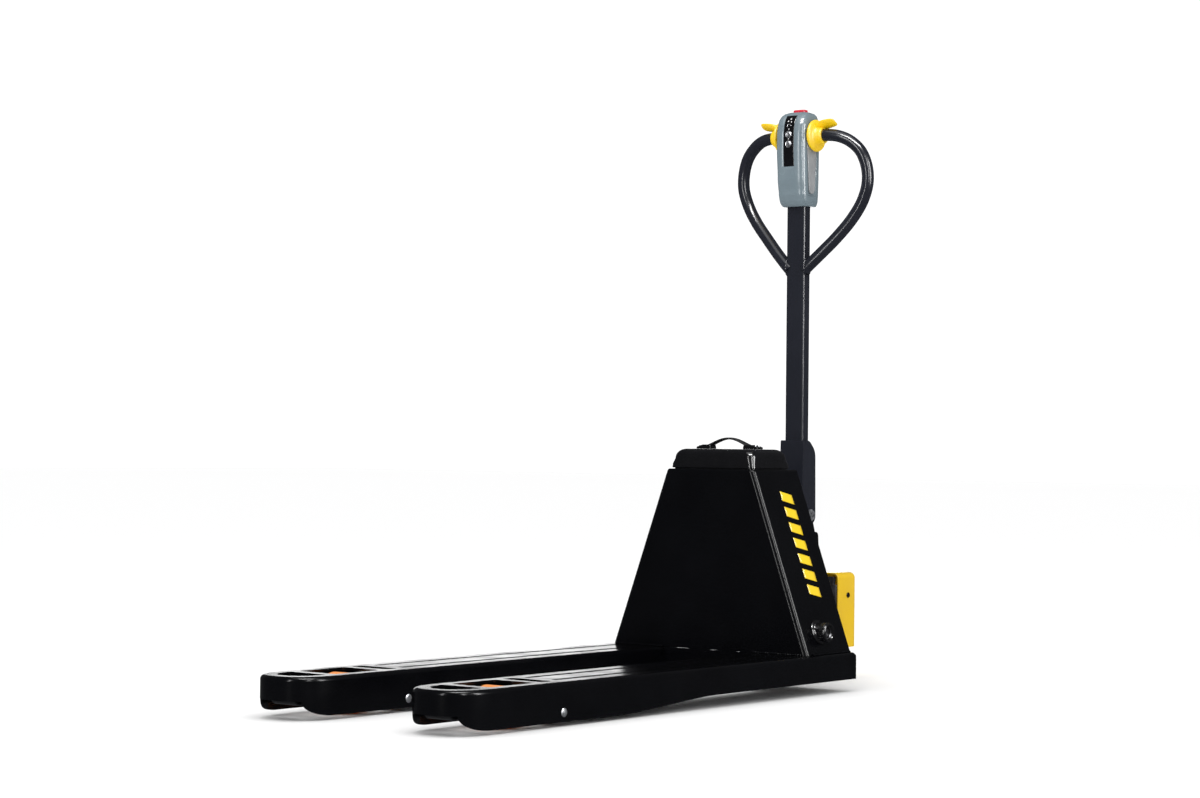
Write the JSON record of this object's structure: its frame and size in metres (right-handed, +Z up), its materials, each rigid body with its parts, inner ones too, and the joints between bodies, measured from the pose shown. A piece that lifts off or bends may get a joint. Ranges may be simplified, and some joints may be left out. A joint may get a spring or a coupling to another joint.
{
  "type": "electric pallet truck",
  "caption": "Low-lift pallet truck with forks, battery tower, steered drive wheel under a hood, tilting tiller with loop handle, thumb throttle and lift buttons.",
  "frame": {"origin": "bottom centre of the bounding box, on the floor between the forks", "axes": "+X towards the fork tips, +Z up, +Y to the truck's left, the side of the key switch"},
  "size_m": [1.586, 0.563, 1.319],
  "materials": {
    "chassis_paint": "gloss powder coat",
    "tiller_paint": "gloss powder coat",
    "hood_paint": "satin powder coat",
    "throttle_plastic": "satin moulded",
    "head_plastic": "satin moulded",
    "cover_plastic": "fine texture",
    "panel_gloss": "high gloss",
    "stop_red": "satin",
    "load_urethane": "cast polyurethane",
    "drive_rubber": "matt rubber",
    "zinc_steel": "zinc plated",
    "cast_steel": "cast and machined",
    "alloy": "die cast"
  },
  "bodies": {
    "drive_frame": {"drive_frame": "cast_steel", "steering_bearing": "zinc_steel", "lift_cylinder": "cast_steel"},
    "lift_chassis": {"fork_left": "chassis_paint", "fork_right": "chassis_paint", "cross_member": "chassis_paint", "tower_shell": "chassis_paint", "rear_cover": "cover_plastic", "battery_tray": "cast_steel", "lift_piston_rod": "zinc_steel", "hydraulic_power_pack": "alloy", "motor_controller": "alloy", "arm_pin_left": "zinc_steel", "arm_pin_right": "zinc_steel", "entry_pin_left": "zinc_steel", "entry_pin_right": "zinc_steel", "rocker_bush_left": "alloy", "rocker_bush_right": "alloy", "key_switch_housing": "cover_plastic"},
    "key": {"key_switch_barrel": "zinc_steel"},
    "battery": {"battery_pack": "cover_plastic", "battery_strap": "drive_rubber"},
    "rocker": {"rocker": "cast_steel"},
    "rocker_roller_left": {"rocker_roller_left": "zinc_steel"},
    "rocker_roller_right": {"rocker_roller_right": "zinc_steel"},
    "push_rod_left": {"push_rod_left": "zinc_steel"},
    "push_rod_right": {"push_rod_right": "zinc_steel"},
    "load_arm_left": {"load_arm_left": "cast_steel", "load_axle_left": "zinc_steel"},
    "load_arm_right": {"load_arm_right": "cast_steel", "load_axle_right": "zinc_steel"},
    "load_wheel_left": {"load_hub_left": "cast_steel", "load_tyre_left": "load_urethane"},
    "load_wheel_right": {"load_hub_right": "cast_steel", "load_tyre_right": "load_urethane"},
    "entry_roller_left": {"entry_roller_left": "cover_plastic"},
    "entry_roller_right": {"entry_roller_right": "cover_plastic"},
    "steering": {"drive_yoke": "cast_steel", "tiller_base": "chassis_paint", "drive_hood": "hood_paint", "hood_screw_left": "cover_plastic", "hood_screw_right": "cover_plastic", "drive_axle": "zinc_steel", "tilt_pin": "zinc_steel"},
    "drive_wheel": {"drive_tyre": "drive_rubber", "drive_hub_motor": "alloy"},
    "tiller": {"tiller_bracket": "tiller_paint", "tiller_tube": "tiller_paint", "handle_loop_left": "tiller_paint", "handle_loop_right": "tiller_paint", "head_front_cover": "head_plastic", "head_rear_cover": "head_plastic", "display_panel": "panel_gloss"},
    "throttle": {"throttle_left": "throttle_plastic", "throttle_right": "throttle_plastic"},
    "raise_button": {"raise_button": "zinc_steel"},
    "lower_button": {"lower_button": "zinc_steel"},
    "horn_button": {"horn_button": "cover_plastic"},
    "belly_button": {"belly_button": "stop_red"}
  },
  "joints": [
    {"name": "lift", "type": "slide", "parent": "drive_frame", "child": "lift_chassis", "axis": [0, 0, 1], "range_m": [0, 0.1]},
    {"name": "key_turn", "type": "hinge", "parent": "lift_chassis", "child": "key", "pos_m": [-0.427, 0.26, 0.133], "axis": [0, 1, 0], "range_deg": [0, 90]},
    {"name": "battery_lift_out", "type": "slide", "parent": "lift_chassis", "child": "battery", "axis": [0, 0, 1], "range_m": [0, 0.26]},
    {"name": "rocker_pivot", "type": "hinge", "parent": "lift_chassis", "child": "rocker", "pos_m": [-0.487, 0, 0.04], "axis": [0, 1, 0], "range_deg": [0, 65.3]},
    {"name": "rocker_roller_left_spin", "type": "hinge", "parent": "rocker", "child": "rocker_roller_left", "pos_m": [-0.385, 0.0595, 0.053], "axis": [0, 1, 0], "continuous": true},
    {"name": "rocker_roller_right_spin", "type": "hinge", "parent": "rocker", "child": "rocker_roller_right", "pos_m": [-0.385, -0.0595, 0.053], "axis": [0, 1, 0], "continuous": true},
    {"name": "push_rod_left_pivot", "type": "hinge", "parent": "rocker", "child": "push_rod_left", "pos_m": [-0.487, 0.2125, 0.07], "axis": [0, 1, 0], "range_deg": [-65.3, 0]},
    {"name": "push_rod_right_pivot", "type": "hinge", "parent": "rocker", "child": "push_rod_right", "pos_m": [-0.487, -0.1875, 0.07], "axis": [0, 1, 0], "range_deg": [-65.3, 0]},
    {"name": "load_arm_left_pivot", "type": "hinge", "parent": "lift_chassis", "child": "load_arm_left", "pos_m": [0.491, 0.2, 0.027], "axis": [0, 1, 0], "range_deg": [0, 65.3]},
    {"name": "load_arm_right_pivot", "type": "hinge", "parent": "lift_chassis", "child": "load_arm_right", "pos_m": [0.491, -0.2, 0.027], "axis": [0, 1, 0], "range_deg": [0, 65.3]},
    {"name": "load_wheel_left_spin", "type": "hinge", "parent": "load_arm_left", "child": "load_wheel_left", "pos_m": [0.593, 0.2, 0.04], "axis": [0, 1, 0], "continuous": true},
    {"name": "load_wheel_right_spin", "type": "hinge", "parent": "load_arm_right", "child": "load_wheel_right", "pos_m": [0.593, -0.2, 0.04], "axis": [0, 1, 0], "continuous": true},
    {"name": "entry_roller_left_spin", "type": "hinge", "parent": "lift_chassis", "child": "entry_roller_left", "pos_m": [0.751, 0.2, 0.044], "axis": [0, 1, 0], "continuous": true},
    {"name": "entry_roller_right_spin", "type": "hinge", "parent": "lift_chassis", "child": "entry_roller_right", "pos_m": [0.751, -0.2, 0.044], "axis": [0, 1, 0], "continuous": true},
    {"name": "steer", "type": "hinge", "parent": "drive_frame", "child": "steering", "pos_m": [-0.647, 0, 0.26], "axis": [0, 0, 1], "range_deg": [-90, 90]},
    {"name": "drive_wheel_spin", "type": "hinge", "parent": "steering", "child": "drive_wheel", "pos_m": [-0.647, 0, 0.105], "axis": [0, 1, 0], "continuous": true},
    {"name": "tiller_tilt", "type": "hinge", "parent": "steering", "child": "tiller", "pos_m": [-0.711, 0, 0.378], "axis": [0, -1, 0], "range_deg": [0, 75], "stiffness_Nm_per_rad": 22, "springref_deg": -34.38},
    {"name": "throttle_turn", "type": "hinge", "parent": "tiller", "child": "throttle", "pos_m": [-0.703, 0, 1.256], "axis": [0, 1, 0], "range_deg": [-25, 25], "stiffness_Nm_per_rad": 0.3},
    {"name": "raise_button_press", "type": "slide", "parent": "tiller", "child": "raise_button", "axis": [-1, 0, 0], "range_m": [0, 0.0015], "stiffness_N_per_m": 400, "springref_m": -0.0005},
    {"name": "lower_button_press", "type": "slide", "parent": "tiller", "child": "lower_button", "axis": [-1, 0, 0], "range_m": [0, 0.0015], "stiffness_N_per_m": 400, "springref_m": -0.0005},
    {"name": "horn_button_press", "type": "slide", "parent": "tiller", "child": "horn_button", "axis": [-1, 0, 0], "range_m": [0, 0.0012], "stiffness_N_per_m": 400, "springref_m": -0.0005},
    {"name": "belly_button_press", "type": "slide", "parent": "tiller", "child": "belly_button", "axis": [0, 0, -1], "range_m": [0, 0.005], "stiffness_N_per_m": 800, "springref_m": -0.001}
  ],
  "couplings": [
    {"joint": "rocker_pivot", "follows": "lift", "rad_per_m": 11.354},
    {"joint": "load_arm_left_pivot", "follows": "lift", "rad_per_m": 11.354},
    {"joint": "load_arm_right_pivot", "follows": "lift", "rad_per_m": 11.354},
    {"joint": "push_rod_left_pivot", "follows": "lift", "rad_per_m": -11.354},
    {"joint": "push_rod_right_pivot", "follows": "lift", "rad_per_m": -11.354}
  ]
}
